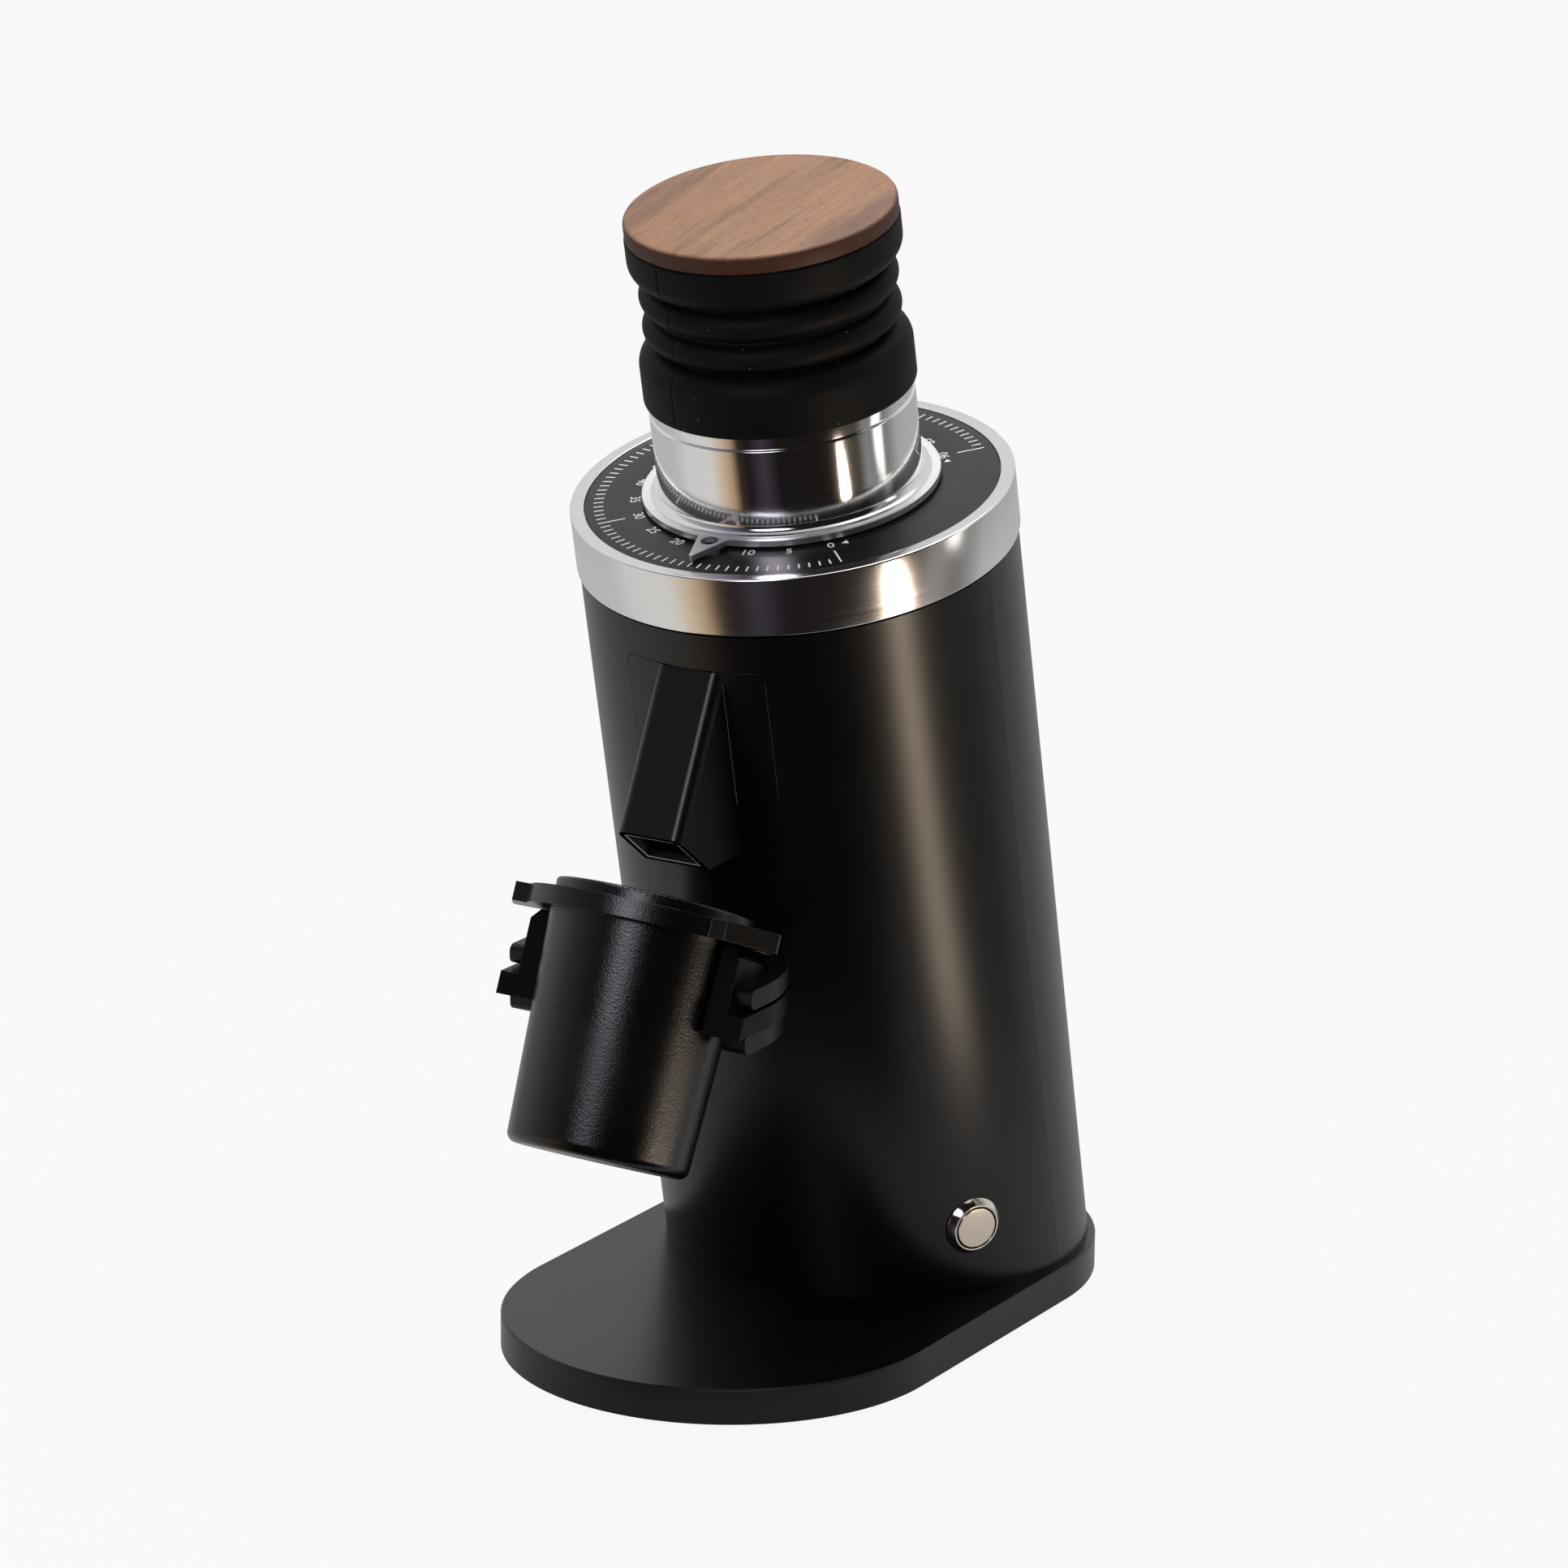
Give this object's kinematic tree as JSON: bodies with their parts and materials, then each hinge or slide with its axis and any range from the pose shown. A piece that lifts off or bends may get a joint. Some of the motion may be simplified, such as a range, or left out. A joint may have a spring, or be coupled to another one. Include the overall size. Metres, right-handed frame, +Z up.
{
  "type": "burr coffee grinder",
  "caption": "Leaning single-dose burr coffee grinder with a stepless dial, bellows lid, spout and a tilted dosing cup held in a fork.",
  "frame": {"origin": "on the table, under the middle of the base", "axes": "+Z up, -Y to the front where the cup hangs, +X to the right as seen from the front"},
  "size_m": [0.1156, 0.214, 0.3022],
  "materials": {
    "body_black": "satin black powder coat",
    "collar_metal": "brushed",
    "neck_metal": "turned and polished",
    "dial_black": "satin black anodised, white marks",
    "silicone": "matt black",
    "walnut": "oiled walnut",
    "cup_black": "black anodised, blasted",
    "fork_black": "matt black",
    "grip_rubber": "matt black",
    "bright_edge": "polished",
    "button_metal": "polished",
    "foot_rubber": "matt",
    "plastic_black": "moulded",
    "steel": "bright zinc",
    "burr_steel": "hardened steel",
    "motor_metal": "grey",
    "copper": "enamelled copper",
    "board_green": "green",
    "pin_metal": "nickel plated"
  },
  "bodies": {
    "base": {"housing": "body_black", "bottom_cover": "plastic_black", "cover_screws": "steel", "rubber_feet": "foot_rubber", "board_posts": "plastic_black", "control_board": "board_green", "board_screws": "steel", "collar_ring": "collar_metal", "collar_bolts": "steel", "dial_plate": "dial_black", "glide_ring": "plastic_black", "motor_plate": "motor_metal", "plate_screws": "steel", "motor_can": "motor_metal", "motor_screws": "steel", "motor_end_cap": "motor_metal", "motor_stator": "steel", "motor_windings": "copper", "upper_bearing": "steel", "lower_bearing": "steel", "grind_chamber": "motor_metal", "chamber_screws": "steel", "shaft_seal": "foot_rubber", "carrier_keys": "steel", "chute": "body_black", "chute_liner": "bright_edge", "chute_nuts": "steel", "fork": "fork_black", "fork_grips": "grip_rubber", "fork_screws": "steel", "button_bezel": "button_metal", "button_switch": "plastic_black", "button_seal": "foot_rubber", "button_nut": "steel", "power_inlet": "plastic_black", "inlet_pins": "pin_metal"},
    "adjuster": {"adjuster_neck": "neck_metal", "pointer_ring": "neck_metal", "retaining_ring": "steel"},
    "burr_carrier": {"upper_burr_carrier": "collar_metal", "upper_burr": "burr_steel", "upper_burr_screws": "steel"},
    "rotor": {"motor_shaft": "steel", "motor_rotor": "motor_metal", "lower_burr_carrier": "collar_metal", "lower_burr": "burr_steel", "lower_burr_screws": "steel", "carrier_nut": "steel"},
    "bellows_body": {"bellows": "silicone"},
    "lid": {"wood_lid": "walnut"},
    "button": {"button_cap": "button_metal"},
    "cup": {"dosing_cup": "cup_black"}
  },
  "joints": [
    {"name": "adjust_turn", "type": "hinge", "parent": "base", "child": "adjuster", "pos_m": [0, -0.00965, 0.22096], "axis": [0, -0.2193, 0.9756], "range_deg": [-225, 45]},
    {"name": "burr_lift", "type": "slide", "parent": "base", "child": "burr_carrier", "axis": [0, -0.2193, 0.9756], "range_m": [-0.0002, 0.00095]},
    {"name": "burr_spin", "type": "hinge", "parent": "base", "child": "rotor", "pos_m": [0, 0.00461, 0.15755], "axis": [0, -0.2193, 0.9756], "continuous": true},
    {"name": "bellows_lift", "type": "slide", "parent": "adjuster", "child": "bellows_body", "axis": [0, -0.2193, 0.9756], "range_m": [0, 0.06]},
    {"name": "bellows_pump", "type": "slide", "parent": "bellows_body", "child": "lid", "axis": [0, 0.2193, -0.9756], "range_m": [0, 0.01], "stiffness_N_per_m": 300, "springref_m": -0.02, "deforming": ["bellows"]},
    {"name": "button_press", "type": "slide", "parent": "base", "child": "button", "axis": [-0.8643, 0.4908, 0.1103], "range_m": [0, 0.0012], "stiffness_N_per_m": 800, "springref_m": -0.002},
    {"name": "cup_pull", "type": "slide", "parent": "base", "child": "cup", "axis": [0, -0.9135, 0.4067], "range_m": [0, 0.075]}
  ],
  "couplings": [
    {"joint": "burr_lift", "follows": "adjust_turn", "m_per_rad": -0.00023873}
  ]
}
